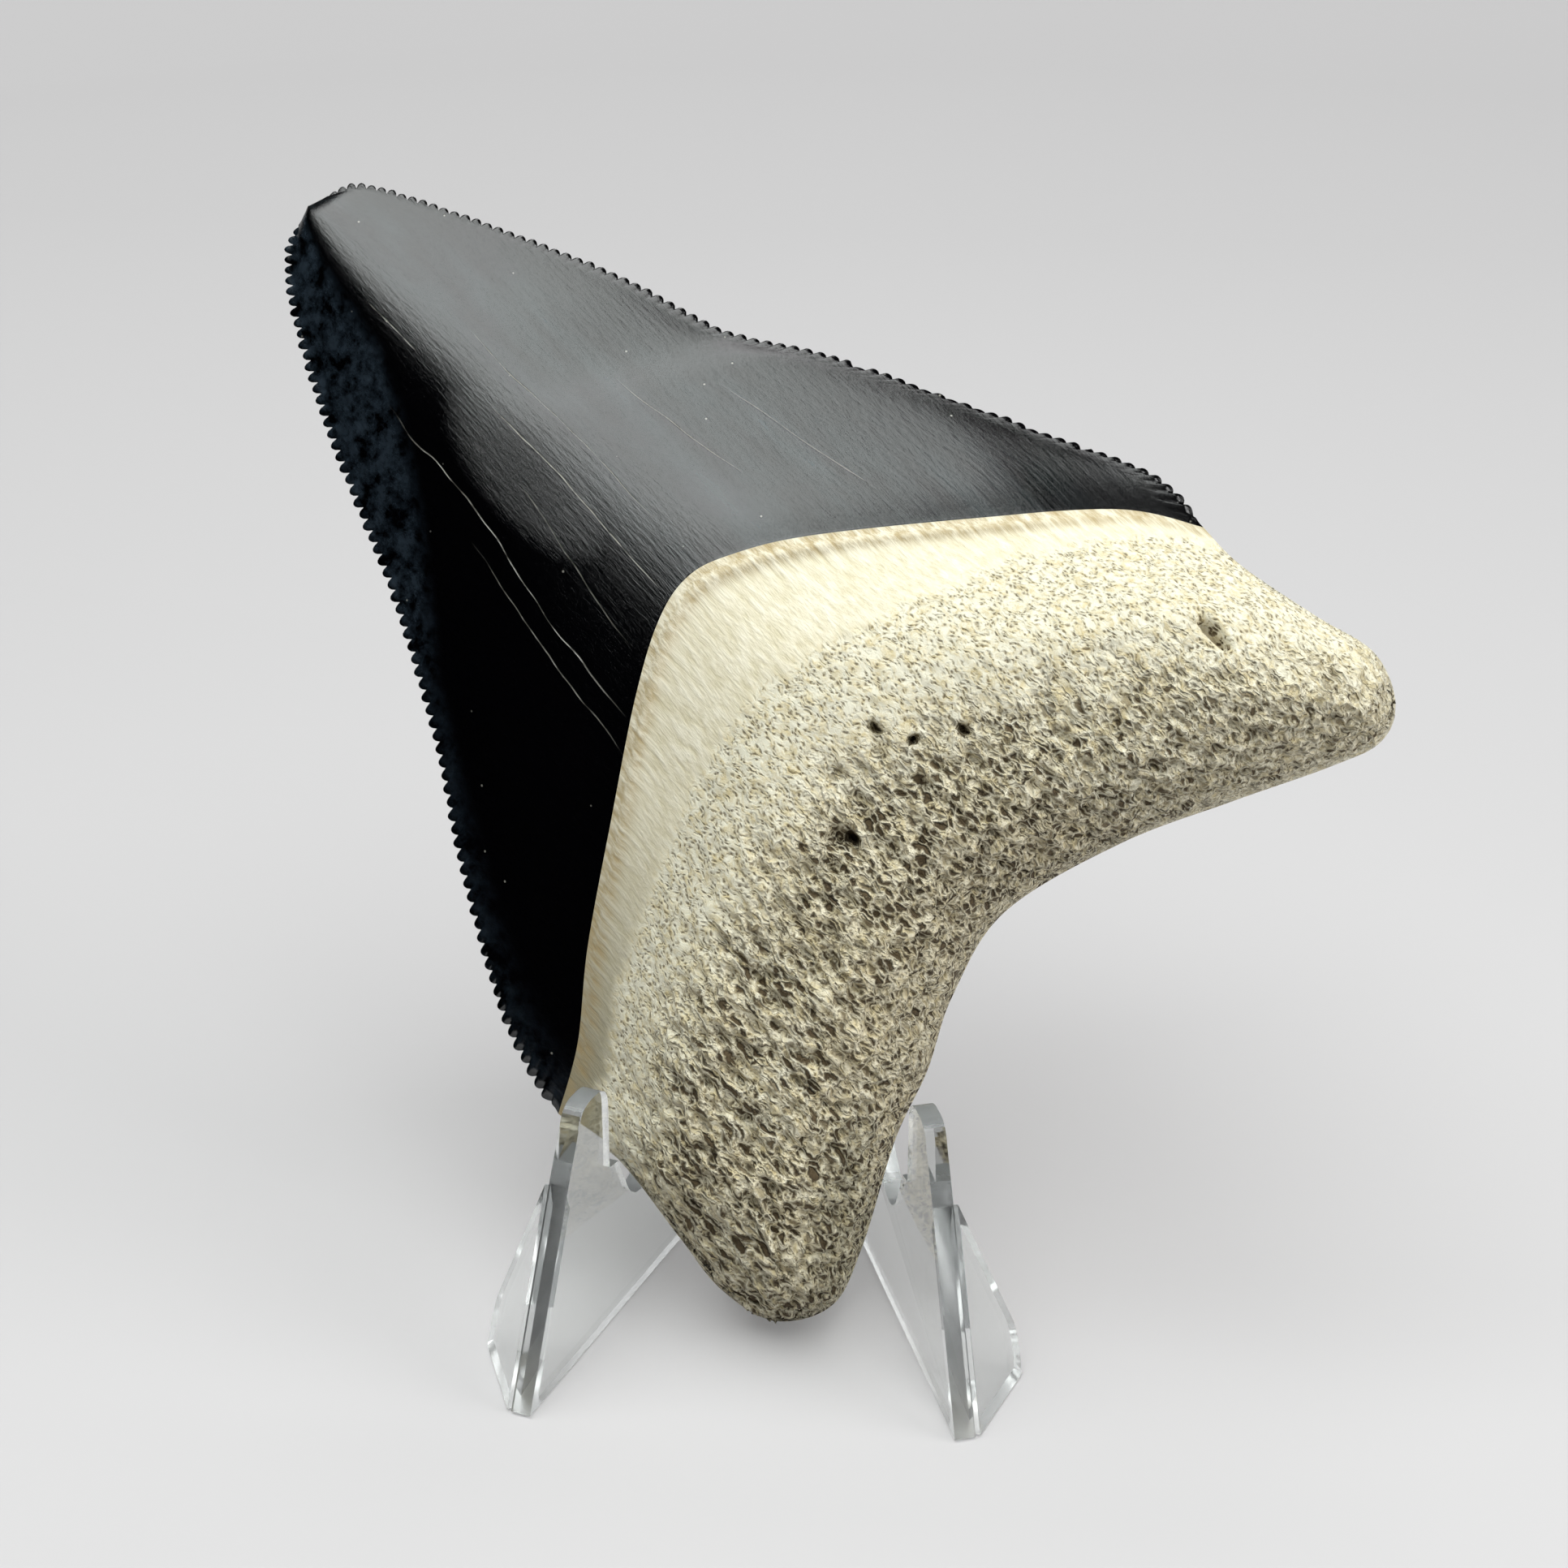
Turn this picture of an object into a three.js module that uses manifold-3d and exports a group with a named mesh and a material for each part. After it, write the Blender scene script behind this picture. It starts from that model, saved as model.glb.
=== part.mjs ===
// A fossil megalodon tooth leaning in a clear one-piece easel.
// Millimetres, +Z up, the front towards -Y, the table at z = 0.
import * as THREE from "three";
import { mergeVertices } from "three/addons/utils/BufferGeometryUtils.js";
import Module from "manifold-3d";

// Tooth outline in its own plane: x across the crown, y from the root up to the tip
const TIP = [-1.1, 75.0];
const CORNER_LEFT = [-29.7, 19.9];
const CORNER_RIGHT = [27.3, 19.4];
const LEFT_EDGE = [
  TIP, [-3.8, 73.6], [-6.6, 69.9], [-10.4, 61.9], [-14.0, 52.6], [-18.2, 44.0], [-23.0, 36.0],
  [-27.6, 27.1], CORNER_LEFT,
];
const RIGHT_EDGE = [
  TIP, [1.9, 73.7], [4.0, 70.6], [7.6, 63.6], [10.7, 56.9], [13.1, 50.0], [16.7, 44.5], [20.4, 37.7],
  [23.9, 30.5], [27.0, 24.0], CORNER_RIGHT,
];
const ROOT_OUTLINE = [
  CORNER_LEFT, [-28.8, 15.0], [-29.3, 8.6], [-29.6, 4.2], [-28.4, 0.3], [-24.9, -1.5], [-20.8, 0.0],
  [-14.4, 3.7], [-9.8, 5.6], [-5.2, 8.1], [1.0, 9.8], [9.5, 8.0], [16.7, 5.1], [22.8, 2.5], [26.2, 1.5],
  [28.6, 2.7], [29.8, 6.0], [28.7, 10.2], [27.4, 15.9], CORNER_RIGHT,
];
const LOBE_LEFT = 4;
const NOTCH = 10;
const LOBE_RIGHT = 15;

// The two faces of the tooth. The lingual face is a rounded roof over a swollen root; the labial face
// behind it is flatter, and its enamel reaches lower.
const LINGUAL = {
  side: 1,
  enamelLine: curve([
    CORNER_LEFT, [-25.3, 22.4], [-20.2, 26.5], [-13.1, 31.4], [-6.5, 35.9], [-2.0, 38.4], [1.2, 39.1],
    [4.2, 38.2], [8.5, 35.8], [16.8, 29.7], [24.1, 23.9], CORNER_RIGHT,
  ]),
  apex: 6,
  crestHeight: 8.0,
  crestGrowth: 0.62,
  roofPower: 1.3,
  swelling: 10.5,
  lobeThinning: 0.3,
  rounding: 7.5,
  rim: 0.3,
};
const LABIAL = {
  side: -1,
  enamelLine: curve([
    CORNER_LEFT, [-20.0, 24.5], [-10.0, 28.8], [0.5, 30.5], [10.0, 28.0], [20.0, 23.5], CORNER_RIGHT,
  ]),
  apex: 3,
  crestHeight: 3.4,
  crestGrowth: 0.55,
  roofPower: 1.9,
  swelling: 5.2,
  lobeThinning: 0.45,
  rounding: 7.5,
  rim: 0,
};
const ROOF_SOFTENING = 0.12;
const CREST_LEAN = 0.12;

// Serrations along both cutting edges, finer towards the tip
const SERRATIONS = 76;
const SERRATION_DEPTH = 0.6;
const SERRATION_CROWDING = 1.15;

// Pores of the root: three named hollows and a scatter that grows denser towards the base
const FORAMEN = { u: -0.09, v: 0.66, size: [1.0, 1.5, 1.2] };
const GOUGE = { u: 0.8, v: 0.42, size: [0.9, 1.8, 0.8] };
const HOLLOW = { u: 0.3, v: 0.55, size: [0.8, 1.0, 0.8] };
const PORES = 34;
const PORE_SIZE = [0.5, 1.0, 0.6];

// Grid of each tooth face, its columns closer together towards both edges
const COLUMNS = 20;
const COLUMN_CROWDING = 1.4;
const CROWN_ROWS = 38;
const EDGE_STEPS = (2 * SERRATIONS) / CROWN_ROWS;
const ROOT_ROWS = [0, 0.03, 0.07, 0.14, 0.22, 0.3, 0.38, 0.46, 0.54, 0.62, 0.7, 0.78, 0.86, 0.93, 0.975, 1];

// Pose of the tooth in the easel: leaning back and rolled until its tip points up and to the left
const LEAN = THREE.MathUtils.degToRad(24);
const ROLL = THREE.MathUtils.degToRad(45);
const TOOTH_AT = [21.3, 19.3];
const TABLE_GAP = 0.1;

// Easel: two upright plates from the front feet to a fold at the back, seen from above as a V
const FOOT_HALF_SPAN = 14;
const EASEL_DEPTH = 41.5;
const PLATE = 1.35;
const STRIP_TOP = [6.2, 13.6];
const FINGER_FRONT = [7.7, 16.6];
const FINGER_HEIGHT = 17.9;
const FINGER_BACK = 11.8;
const LEDGE = [11.8, 11.6];
const CRADLE = [[22.4, 11.7], [20.0, 9.5], [18.0, 8.0], [16.1, 7.45], [14.7, 8.1], [13.7, 9.9], [13.0, 11.4]];
const REST_FOOT = [25.0, 15.2];
const REST_TOP = [31.4, 27.7];
const FOLD_HEIGHT = 15;
const FIN_FOOT = [16.7, 7.4, 0];
const FIN_SHOULDER = [16.1, 8.3, 3.2];

const wasm = await Module();
wasm.setup();

function curve(points) {
  return new THREE.SplineCurve(points.map(([x, y]) => new THREE.Vector2(x, y)));
}

const leftEdge = curve(LEFT_EDGE);
const rightEdge = curve(RIGHT_EDGE);
const rootOutline = curve(ROOT_OUTLINE);
const rootOutlinePoints = rootOutline.getSpacedPoints(240);

// Point a fraction of the way along a curve between two of its control points
function between(path, first, last, fraction) {
  const lengths = path.getLengths();
  const steps = (lengths.length - 1) / (path.points.length - 1);
  const share = (i) => lengths[Math.round(i * steps)] / lengths.at(-1);
  return path.getPointAt(THREE.MathUtils.lerp(share(first), share(last), fraction));
}

// Point of a curve at u from -1 to 1, with u = 0 at one of its control points
function across(path, first, middle, last, u) {
  return u < 0 ? between(path, first, middle, 1 + u) : between(path, middle, last, u);
}

function enamelPoint(face, u) {
  return across(face.enamelLine, 0, face.apex, face.enamelLine.points.length - 1, u);
}

function columnAt(j) {
  const t = (2 * j) / COLUMNS - 1;
  return Math.sign(t) * (1 - (1 - Math.abs(t)) ** COLUMN_CROWDING);
}

// Height of the roof-shaped crown section: 1 on the crest, 0 on both cutting edges
function roof(face, u) {
  const soft = (x) => (x * x + ROOF_SOFTENING ** 2) ** (face.roofPower / 2);
  return 1 - (soft(u) - soft(0)) / (soft(1) - soft(0));
}

// Crown surface: u runs across from the left edge to the right, v from the tip down to the enamel line
function crownPoint(face, u, v) {
  const s = (u + 1) / 2;
  const chord = leftEdge.getPointAt(v).lerp(rightEdge.getPointAt(v), s);
  const cornerChord = new THREE.Vector2(...CORNER_LEFT).lerp(new THREE.Vector2(...CORNER_RIGHT), s);
  const arch = enamelPoint(face, u).sub(cornerChord).multiplyScalar(v ** 1.6);
  const lean = CREST_LEAN * (1 - v) * (1 - u * u);
  const height = face.crestHeight * v ** face.crestGrowth * roof(face, u + lean);
  return new THREE.Vector3(chord.x + arch.x, chord.y + arch.y, face.side * height);
}

// Cutting edge with its serrations: step counts half pitches down from the tip
function edgePoint(path, outward, step) {
  const v = (step / (2 * SERRATIONS)) ** SERRATION_CROWDING;
  const point = path.getPointAt(v);
  const tangent = path.getTangentAt(v);
  const worn = THREE.MathUtils.smoothstep(v, 0.015, 0.05) * (1 - THREE.MathUtils.smoothstep(v, 0.97, 0.995));
  const shift = outward * SERRATION_DEPTH * (step % 2 === 1 ? worn : 0);
  return new THREE.Vector3(point.x - tangent.y * shift, point.y + tangent.x * shift, 0);
}

function rootEdgeDistance(point) {
  return Math.min(...rootOutlinePoints.map((p) => p.distanceTo(point)));
}

// Root surface: a patch between the enamel line and the base, swelling to a rounded rim
function rootPoint(face, u, v) {
  const s = (u + 1) / 2;
  const last = ROOT_OUTLINE.length - 1;
  const base = (w) => across(rootOutline, LOBE_LEFT, NOTCH, LOBE_RIGHT, w);
  const column = (w) => enamelPoint(face, w).lerp(base(w), v);
  const left = between(rootOutline, 0, LOBE_LEFT, v).sub(column(-1)).multiplyScalar(1 - s);
  const right = between(rootOutline, last, LOBE_RIGHT, v).sub(column(1)).multiplyScalar(s);
  const flat = column(u).add(left).add(right);
  const onRim = v === 1 || Math.abs(u) === 1;
  const inset = onRim ? 0 : Math.min(rootEdgeDistance(flat) / face.rounding, 1);
  const swell = face.swelling * (1 - face.lobeThinning * u * u) * Math.sqrt(1 - (1 - inset) ** 2);
  const rim = face.rim * Math.exp(-(((v - 0.03) / 0.02) ** 2)) * (1 - u ** 4) * Math.min(v / 0.03, 1);
  const blend = THREE.MathUtils.smoothstep(v, 0, 0.45);
  const height = THREE.MathUtils.lerp(face.crestHeight * roof(face, u), swell, blend) + rim;
  return new THREE.Vector3(flat.x, flat.y, face.side * height);
}

// A growing mesh in which points at the same place are one vertex
class Surface {
  constructor() {
    this.positions = [];
    this.triangles = [];
    this.seen = new Map();
  }

  vertex(point) {
    const key = point.toArray().map((n) => Math.round(n * 1e4)).join();
    if (!this.seen.has(key)) {
      this.seen.set(key, this.seen.size);
      this.positions.push(point.x, point.y, point.z);
    }
    return this.seen.get(key);
  }

  // Corners run anticlockwise seen from the lingual side; the labial side is turned over
  triangle(side, a, b, c) {
    if (a === b || b === c || c === a) return;
    this.triangles.push(...(side > 0 ? [a, b, c] : [a, c, b]));
  }

  quad(side, a, b, c, d) {
    this.triangle(side, a, b, c);
    this.triangle(side, a, c, d);
  }

  geometry() {
    const geometry = new THREE.BufferGeometry();
    geometry.setAttribute("position", new THREE.Float32BufferAttribute(this.positions, 3));
    geometry.setIndex(this.triangles);
    return geometry;
  }
}

function addCrown(surface, face) {
  const row = (i) => (i / CROWN_ROWS) ** SERRATION_CROWDING;
  const inner = (i, j) => surface.vertex(crownPoint(face, columnAt(j), row(i)));
  for (let i = 0; i < CROWN_ROWS; i += 1) {
    for (let j = 1; j < COLUMNS - 1; j += 1) {
      surface.quad(face.side, inner(i, j), inner(i + 1, j), inner(i + 1, j + 1), inner(i, j + 1));
    }
    addEdgeStrip(surface, face, leftEdge, 1, i, inner(i, 1), inner(i + 1, 1));
    addEdgeStrip(surface, face, rightEdge, -1, i, inner(i, COLUMNS - 1), inner(i + 1, COLUMNS - 1));
  }
}

// One row of the strip between a serrated edge and the first smooth column; outward is 1 on the left edge
function addEdgeStrip(surface, face, path, hand, row, upper, lower) {
  const edge = (k) => surface.vertex(edgePoint(path, -hand, row * EDGE_STEPS + k));
  const side = face.side * hand;
  for (let k = 0; k < EDGE_STEPS; k += 1) {
    surface.triangle(side, edge(k), edge(k + 1), k < EDGE_STEPS / 2 ? upper : lower);
  }
  surface.triangle(side, upper, edge(EDGE_STEPS / 2), lower);
}

function addRoot(surface, face) {
  const point = (i, j) => surface.vertex(rootPoint(face, columnAt(j), ROOT_ROWS[i]));
  for (let i = 0; i < ROOT_ROWS.length - 1; i += 1) {
    for (let j = 0; j < COLUMNS; j += 1) {
      surface.quad(face.side, point(i, j), point(i + 1, j), point(i + 1, j + 1), point(i, j + 1));
    }
  }
}

function solid(geometry) {
  const positions = new Float32Array(geometry.attributes.position.array);
  const triangles = new Uint32Array(geometry.index.array);
  return new wasm.Manifold(new wasm.Mesh({ numProp: 3, vertProperties: positions, triVerts: triangles }));
}

function fromSolid(manifold) {
  const mesh = manifold.getMesh();
  const geometry = new THREE.BufferGeometry();
  geometry.setAttribute("position", new THREE.Float32BufferAttribute(mesh.vertProperties, 3));
  geometry.setIndex(new THREE.Uint32BufferAttribute(mesh.triVerts, 1));
  geometry.computeVertexNormals();
  return geometry;
}

// A closed copy of a three.js geometry, its equal points joined
function welded(geometry) {
  geometry.deleteAttribute("normal");
  geometry.deleteAttribute("uv");
  return mergeVertices(geometry);
}

function pore({ u, v, size }) {
  const geometry = welded(new THREE.SphereGeometry(1, 6, 4));
  geometry.scale(...size);
  geometry.translate(...rootPoint(LINGUAL, u, v).toArray());
  return solid(geometry);
}

// Pores spread by the golden ratio, so that no two fall in a row
function poreScatter() {
  return Array.from({ length: PORES }, (_, k) => {
    const u = 1.7 * ((k * 0.618 + 0.3) % 1) - 0.85;
    const v = 0.36 + 0.55 * ((k + 0.5) / PORES) ** 0.7;
    return { u, v, size: PORE_SIZE.map((n) => n * (0.8 + 0.5 * ((k * 0.37) % 1))) };
  });
}

function makeTooth() {
  const surface = new Surface();
  for (const face of [LINGUAL, LABIAL]) {
    addCrown(surface, face);
    addRoot(surface, face);
  }
  const pits = [FORAMEN, GOUGE, HOLLOW, ...poreScatter()].map(pore);
  const body = pits.reduce((rest, pit) => rest.subtract(pit), solid(surface.geometry()));
  const material = new THREE.MeshStandardMaterial({ color: 0xcdc4a8, roughness: 0.7, metalness: 0 });
  const tooth = new THREE.Mesh(fromSolid(body), material);
  tooth.name = "tooth";
  return tooth;
}

// Profile of an upright plate: s back from the front foot, h up from the table
function plateProfile() {
  const length = Math.hypot(FOOT_HALF_SPAN, EASEL_DEPTH);
  const profile = new THREE.Shape();
  profile.moveTo(0, 0);
  profile.lineTo(length, 0);
  profile.lineTo(length, FOLD_HEIGHT);
  profile.lineTo(REST_TOP[0] + 3.2, REST_TOP[1] - 0.8);
  profile.quadraticCurveTo(REST_TOP[0] + 1.6, REST_TOP[1] + 1.2, REST_TOP[0], REST_TOP[1] - 0.6);
  profile.lineTo(...REST_FOOT);
  profile.splineThru(CRADLE.map(([s, h]) => new THREE.Vector2(s, h)));
  profile.lineTo(...LEDGE);
  profile.lineTo(FINGER_BACK, FINGER_HEIGHT - 1.6);
  profile.quadraticCurveTo(FINGER_BACK, FINGER_HEIGHT, FINGER_BACK - 1.8, FINGER_HEIGHT);
  profile.lineTo(FINGER_FRONT[0] + 1.7, FINGER_HEIGHT);
  profile.quadraticCurveTo(FINGER_FRONT[0] + 0.4, FINGER_HEIGHT, ...FINGER_FRONT);
  profile.lineTo(...STRIP_TOP);
  profile.closePath();
  return profile;
}

function plateGeometry(profile) {
  const options = { depth: PLATE, bevelEnabled: false, curveSegments: 8 };
  const geometry = new THREE.ExtrudeGeometry(profile, options);
  geometry.translate(0, 0, -PLATE / 2);
  return geometry;
}

function plate(profile, origin, along, up) {
  const geometry = plateGeometry(profile);
  const normal = new THREE.Vector3().crossVectors(along, up);
  geometry.applyMatrix4(new THREE.Matrix4().makeBasis(along, up, normal).setPosition(origin));
  return solid(welded(geometry));
}

function upright(hand) {
  const foot = new THREE.Vector3(hand * FOOT_HALF_SPAN, 0, 0);
  const along = new THREE.Vector3(-hand * FOOT_HALF_SPAN, EASEL_DEPTH, 0).normalize();
  return plate(plateProfile(), foot, along, new THREE.Vector3(0, 0, 1));
}

// Side fin: a leaning plate from the front edge of an upright out to its own foot
function fin(hand) {
  const mirrored = ([x, y, z]) => new THREE.Vector3(hand * x, y, z);
  const length = Math.hypot(FOOT_HALF_SPAN, EASEL_DEPTH);
  const foot = mirrored([FOOT_HALF_SPAN, 0, 0]);
  const top = mirrored([
    FOOT_HALF_SPAN * (1 - STRIP_TOP[0] / length),
    (EASEL_DEPTH * STRIP_TOP[0]) / length,
    STRIP_TOP[1],
  ]);
  const up = top.clone().sub(foot).normalize();
  const reach = mirrored(FIN_FOOT).sub(foot);
  const along = reach.clone().addScaledVector(up, -reach.dot(up)).normalize();
  const flat = (p) => new THREE.Vector2(p.clone().sub(foot).dot(along), p.clone().sub(foot).dot(up));
  const toe = flat(mirrored(FIN_FOOT));
  const shoulder = flat(mirrored(FIN_SHOULDER));
  const height = flat(top).y;
  const inset = PLATE * 0.55;
  const profile = new THREE.Shape();
  profile.moveTo(inset, -PLATE);
  profile.lineTo(toe.x, toe.y - PLATE);
  profile.lineTo(toe.x, toe.y);
  profile.quadraticCurveTo(shoulder.x + 0.6, shoulder.y - 1.2, shoulder.x, shoulder.y);
  profile.lineTo(inset, height - 0.4);
  profile.closePath();
  return plate(profile, foot, along, up);
}

function makeStand() {
  const below = welded(new THREE.BoxGeometry(200, 200, 40));
  below.translate(0, 0, -20);
  const plates = [upright(1), upright(-1), fin(1), fin(-1)];
  const body = plates.reduce((all, piece) => all.add(piece)).subtract(solid(below));
  const material = new THREE.MeshStandardMaterial({ color: 0xe6eaea, roughness: 0.05, metalness: 0 });
  material.transparent = true;
  material.opacity = 0.35;
  const stand = new THREE.Mesh(fromSolid(body), material);
  stand.name = "stand";
  return stand;
}

const tooth = makeTooth();
tooth.rotation.set(Math.PI / 2 - LEAN, 0, ROLL);
tooth.position.set(...TOOTH_AT, 0);
tooth.position.z = TABLE_GAP - new THREE.Box3().setFromObject(tooth, true).min.z;

const stand = makeStand();
const display = new THREE.Group();
display.name = "megalodon_tooth_display";
display.add(tooth, stand);
const box = new THREE.Box3().setFromObject(display, true);
const middle = box.getCenter(new THREE.Vector3());
tooth.position.add(new THREE.Vector3(-middle.x, -middle.y, 0));
stand.position.set(-middle.x, -middle.y, 0);

export default display;
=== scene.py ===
import math

import bpy
import numpy as np
from mathutils import Matrix, Vector


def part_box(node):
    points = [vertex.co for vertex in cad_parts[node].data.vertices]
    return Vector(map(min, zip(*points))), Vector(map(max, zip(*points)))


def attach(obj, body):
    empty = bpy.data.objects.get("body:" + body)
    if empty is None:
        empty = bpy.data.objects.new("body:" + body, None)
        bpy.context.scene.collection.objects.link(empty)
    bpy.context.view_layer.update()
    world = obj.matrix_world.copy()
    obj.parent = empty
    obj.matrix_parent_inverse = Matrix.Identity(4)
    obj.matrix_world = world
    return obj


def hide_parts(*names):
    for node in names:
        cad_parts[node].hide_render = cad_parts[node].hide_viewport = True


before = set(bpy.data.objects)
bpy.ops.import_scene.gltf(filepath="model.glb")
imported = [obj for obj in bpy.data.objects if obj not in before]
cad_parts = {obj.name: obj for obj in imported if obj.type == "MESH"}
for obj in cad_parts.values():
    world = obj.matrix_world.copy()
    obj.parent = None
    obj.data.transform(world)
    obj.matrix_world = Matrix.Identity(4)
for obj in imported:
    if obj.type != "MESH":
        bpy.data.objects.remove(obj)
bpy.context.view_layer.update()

# Tooth: a fossil shark tooth, one natural piece of mineralised enamel and dentine. A black cap with two
# serrated edges and a raised crest sits over a swollen, porous root with two lobes. It leans in the easel,
# held by its weight. It is worked out in millimetres: x across the crown, y up to the tip, z to the front.
MM = 0.001
TIP = (-1.1, 75.0)
CORNER_LEFT = (-29.7, 19.9)
CORNER_RIGHT = (27.3, 19.4)
LEFT_EDGE = np.array([
    TIP, (-3.8, 73.6), (-6.6, 69.9), (-10.4, 61.9), (-14.0, 52.6), (-18.2, 44.0), (-23.0, 36.0),
    (-27.6, 27.1), CORNER_LEFT,
])
RIGHT_EDGE = np.array([
    TIP, (1.9, 73.7), (4.0, 70.6), (7.6, 63.6), (10.7, 56.9), (13.1, 50.0), (16.7, 44.5), (20.4, 37.7),
    (23.9, 30.5), (27.0, 24.0), CORNER_RIGHT,
])
ROOT_OUTLINE = np.array([
    CORNER_LEFT, (-28.8, 15.0), (-29.3, 8.6), (-29.6, 4.2), (-28.4, 0.3), (-24.9, -1.5), (-20.8, 0.0),
    (-14.4, 3.7), (-9.8, 5.6), (-5.2, 8.1), (1.0, 9.8), (9.5, 8.0), (16.7, 5.1), (22.8, 2.5), (26.2, 1.5),
    (28.6, 2.7), (29.8, 6.0), (28.7, 10.2), (27.4, 15.9), CORNER_RIGHT,
])
LOBE_LEFT, NOTCH, LOBE_RIGHT = 4, 10, 15
LINGUAL = dict(
    side=1,
    enamel=np.array([
        CORNER_LEFT, (-25.3, 22.4), (-20.2, 26.5), (-13.1, 31.4), (-6.5, 35.9), (-2.0, 38.4), (1.2, 39.1),
        (4.2, 38.2), (8.5, 35.8), (16.8, 29.7), (24.1, 23.9), CORNER_RIGHT,
    ]),
    apex=6, crest=8.0, growth=0.62, power=1.3, swelling=10.5, thinning=0.3, rounding=7.5, rim=0.3,
)
LABIAL = dict(
    side=-1,
    enamel=np.array([
        CORNER_LEFT, (-20.0, 24.5), (-10.0, 28.8), (0.5, 30.5), (10.0, 28.0), (20.0, 23.5), CORNER_RIGHT,
    ]),
    apex=3, crest=3.4, growth=0.55, power=1.9, swelling=5.2, thinning=0.45, rounding=7.5, rim=0.0,
)
ROOF_SOFTENING = 0.12
CREST_LEAN, TIP_LEAN = 0.04, 0.12
SHOULDER_FROM, SHOULDER_RUN, SHOULDER_DIP, SHOULDER_CURVE = 20.2, 7.0, 0.7, 1.15
ARCH_GROWTH = 1.6
SERRATIONS = 76
BEAD_DEPTH = 0.6
BEAD_ROUNDNESS = 0.6
BEAD_REACH = 0.965
CROWDING = 1.15
LEFT_BEADS = dict(hand=-1, depth=1.0, chipped=(1.0, 1.0), seed=3.0)
RIGHT_BEADS = dict(hand=1, depth=0.65, chipped=(0.60, 0.86), seed=8.0)
RIM_AT, RIM_WIDTH = 0.03, 0.02
EVENING_PASSES = 300
OUTLINE_POINTS = 241
BEAD_STEPS = 6
CROWN_COLUMNS = 40
COLUMN_CROWDING = 1.4
ROOT_SPLIT = 8
LINGUAL_ROWS, LABIAL_ROWS = 150, 30


def spline(points, t):
    """Smooth curve through points: t counts points, and each span is a cubic with the neighbours' slope."""
    last = len(points) - 1
    i = np.clip(t.astype(int), 0, last - 1)
    w = (t - i)[:, None]
    before, here, there, after = (points[np.clip(i + k, 0, last)] for k in (-1, 0, 1, 2))
    leave, arrive = (there - before) / 2, (after - here) / 2
    cubic = 2 * here - 2 * there + leave + arrive
    square = -3 * here + 3 * there - 2 * leave - arrive
    return ((cubic * w + square) * w + leave) * w + here


def along(points, first, last, fraction):
    """Points of the smooth curve at a fraction of its length between two of its points."""
    fine = spline(points, np.linspace(first, last, 600))
    length = np.concatenate([[0], np.cumsum(np.linalg.norm(np.diff(fine, axis=0), axis=1))])
    return np.stack([np.interp(fraction * length[-1], length, axis) for axis in fine.T], -1)


def across(points, first, middle, last, u):
    """Points of the curve for u from -1 to 1, with u = 0 at the middle point."""
    left = along(points, first, middle, np.clip(1 + u, 0, 1))
    right = along(points, middle, last, np.clip(u, 0, 1))
    return np.where((u < 0)[:, None], left, right)


def enamel_line(face, u):
    """Points of a face's enamel edge for u from -1 on the left to 1 on the right, with 0 at its apex."""
    return across(face["enamel"], 0, face["apex"], len(face["enamel"]) - 1, u)


def smoothstep(x, low, high):
    """Cubic step from 0 at low to 1 at high, flat at both ends; it falls where low is the greater."""
    x = np.clip((x - low) / (high - low), 0, 1)
    return x * x * (3 - 2 * x)


def roof(face, u):
    """Crown section: 1 on the crest, 0 on both edges, by a softened power of the distance from the crest."""
    soft = lambda x: (x * x + ROOF_SOFTENING ** 2) ** (face["power"] / 2)
    return 1 - (soft(u) - soft(0.0)) / (soft(1.0) - soft(0.0))


def scatter(cells, seed):
    """Three numbers from 0 to 1 for each whole-numbered cell, the same on every run: the sine of a mix of the
    cell's numbers, many times over, less its whole part."""
    mixed = cells @ np.array([[127.1, 269.5, 113.5], [311.7, 183.3, 271.9], [74.7, 246.1, 124.6]]) + seed
    return np.sin(mixed) * 43758.5453 % 1


def ridge(face, u, v, x):
    """Crown height above the tooth's middle plane: the roof section, its crest leaning left towards the tip,
    growing with v from the tip to the enamel line; the lingual face dips at its right shoulder."""
    leaning = u[None] + (CREST_LEAN + TIP_LEAN * (1 - v))[:, None] * (1 - u ** 2)[None]
    dip = SHOULDER_DIP * np.clip((x - SHOULDER_FROM) / SHOULDER_RUN, 0, 1) ** SHOULDER_CURVE
    dip = dip if face is LINGUAL else 0.0
    return face["crest"] * (v ** face["growth"])[:, None] * roof(face, leaning) * (1 - dip)


def bead_row(v, beads):
    """Outward shift of a cutting edge: rounded beads along it, a root of a sine's height, each of its own
    size. They fade out at the tip and at the root, and are lower by chance on the chipped stretch."""
    phase = SERRATIONS * v ** (1 / CROWDING)
    own = scatter(np.floor(phase)[:, None] * [1.0, 0.0, 0.0], beads["seed"])
    worn = smoothstep(v, 0.015, 0.05) * (1 - smoothstep(v, 0.97, 0.995))
    chip_from, chip_to = beads["chipped"]
    chipped = np.where((v > chip_from) & (v < chip_to), 0.75 * own[:, 1], 0.0)
    bead = BEAD_DEPTH * np.abs(np.sin(np.pi * phase)) ** BEAD_ROUNDNESS
    return bead * worn * (0.78 + 0.22 * own[:, 0]) * (1 - chipped)


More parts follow.
